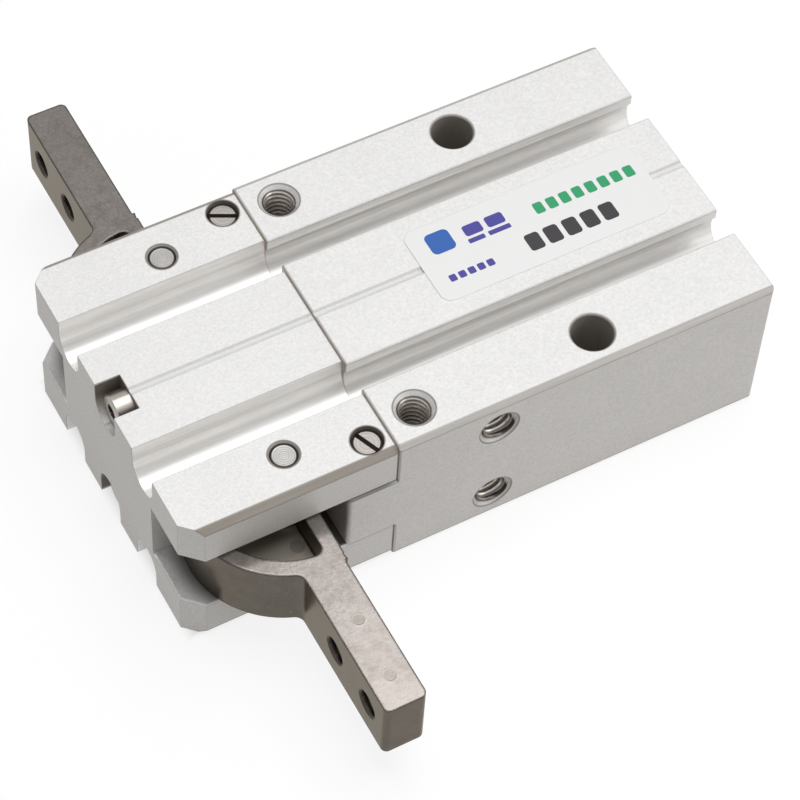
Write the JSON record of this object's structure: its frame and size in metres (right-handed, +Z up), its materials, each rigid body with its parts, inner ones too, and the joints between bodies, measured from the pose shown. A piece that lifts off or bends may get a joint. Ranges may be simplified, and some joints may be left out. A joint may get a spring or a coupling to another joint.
{
  "type": "pneumatic finger gripper",
  "caption": "Flat double-acting air gripper whose steel fingers swing on pivot pins from straight out to straight ahead; grooved aluminium body with side ports.",
  "frame": {"origin": "on the underside, below the middle of the gripper with both fingers open", "axes": "+X from the rear cover to the nose, +Y across to the side with the ports, +Z up"},
  "size_m": [0.0808, 0.0988, 0.0236],
  "materials": {
    "anodised": "bead blasted and clear anodised",
    "turned_aluminium": "turned",
    "cast_steel": "investment cast, satin grey",
    "hard_steel": "turned and ground",
    "stainless": "bright",
    "spring_steel": "phosphated",
    "bronze": "sintered",
    "seal_rubber": "black nitrile",
    "bumper_rubber": "polyurethane",
    "magnet": "bonded ferrite",
    "label_film": "satin film"
  },
  "bodies": {
    "housing": {"body": "anodised", "finger_housing": "anodised", "left_pivot_pin": "hard_steel", "right_pivot_pin": "hard_steel", "rod_seal": "seal_rubber", "rod_bush": "bronze", "front_bumper": "bumper_rubber", "rear_bumper": "bumper_rubber", "rear_cover": "turned_aluminium", "rear_o_ring": "seal_rubber", "retaining_ring": "spring_steel", "passage_ball": "hard_steel", "cap_screws": "stainless", "set_screws": "hard_steel", "label": "label_film"},
    "piston_group": {"piston_rod": "hard_steel", "piston": "turned_aluminium", "piston_seal": "seal_rubber", "piston_magnet": "magnet", "magnet_holder": "turned_aluminium", "piston_nut": "stainless", "drive_joint": "hard_steel", "left_drive_pin": "hard_steel", "right_drive_pin": "hard_steel"},
    "left_lever": {"left_finger": "cast_steel", "left_pivot_bush": "bronze"},
    "right_lever": {"right_finger": "cast_steel", "right_pivot_bush": "bronze"}
  },
  "joints": [
    {"name": "piston_slide", "type": "slide", "parent": "housing", "child": "piston_group", "axis": [-1, 0, 0], "range_m": [0, 0.0124]},
    {"name": "left_finger_swing", "type": "hinge", "parent": "housing", "child": "left_lever", "pos_m": [0.02475, 0.0164, 0.01175], "axis": [0, 0, 1], "range_deg": [-90, 0]},
    {"name": "right_finger_swing", "type": "hinge", "parent": "housing", "child": "right_lever", "pos_m": [0.02475, -0.0164, 0.01175], "axis": [0, 0, 1], "range_deg": [0, 90]}
  ],
  "couplings": [
    {"joint": "left_finger_swing", "follows": "piston_slide", "rad_per_m": -126.68},
    {"joint": "right_finger_swing", "follows": "piston_slide", "rad_per_m": 126.68}
  ]
}
